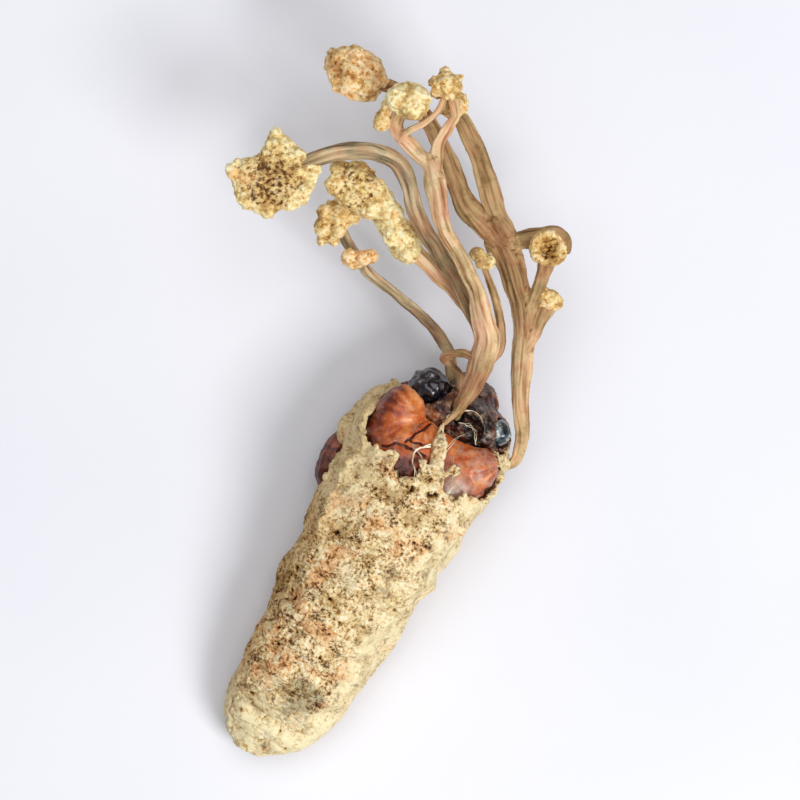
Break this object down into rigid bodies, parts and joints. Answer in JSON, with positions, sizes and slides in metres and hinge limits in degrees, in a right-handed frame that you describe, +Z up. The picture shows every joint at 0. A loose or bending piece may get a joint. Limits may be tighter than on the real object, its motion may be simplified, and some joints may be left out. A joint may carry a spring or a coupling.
{
  "type": "dried cicada flower fungus",
  "caption": "Dried cicada nymph in a felted fungus coat, with branched stalks growing from its head to lumpy spore heads.",
  "frame": {"origin": "on the flat of the belly that the nymph rests on, under the middle of the body", "axes": "+Z up out of the back, +Y along the body from the tail to the head and the stalks, +X to the nymph's right"},
  "size_m": [0.0318, 0.0562, 0.0174],
  "materials": {
    "coat": "matte",
    "shell": "satin",
    "dark_shell": "satin",
    "eye": "gloss",
    "stalk": "matte",
    "grey_stalk": "matte",
    "brown_stalk": "matte",
    "spores": "matte"
  },
  "bodies": {
    "root": {"mycelium_coat": "coat", "pronotum": "shell", "head": "dark_shell", "beak": "dark_shell", "eye_left": "eye", "eye_right": "eye", "foreleg_left": "shell", "foreleg_right": "shell", "stalk_main": "stalk", "stalk_main_upper": "stalk", "branch_left": "stalk", "branch_right": "stalk", "branch_loop": "stalk", "stalk_grey": "grey_stalk", "stalk_inner": "grey_stalk", "stalk_back": "grey_stalk", "stub_curl": "stalk", "twig_knobs": "stalk", "stalk_ribbon": "brown_stalk", "ribbon_left": "brown_stalk", "ribbon_right": "brown_stalk", "twig_cup": "brown_stalk", "twig_lump": "brown_stalk", "spore_flower": "spores", "spore_long": "spores", "spore_cluster": "spores", "spore_pink_cups": "spores", "spore_clump": "spores", "spore_flap": "spores", "spore_tuft": "spores", "spore_outer": "spores", "spore_ribbon": "spores", "spore_cup": "spores", "spore_lump": "spores", "spore_knobs": "spores"}
  },
  "joints": []
}
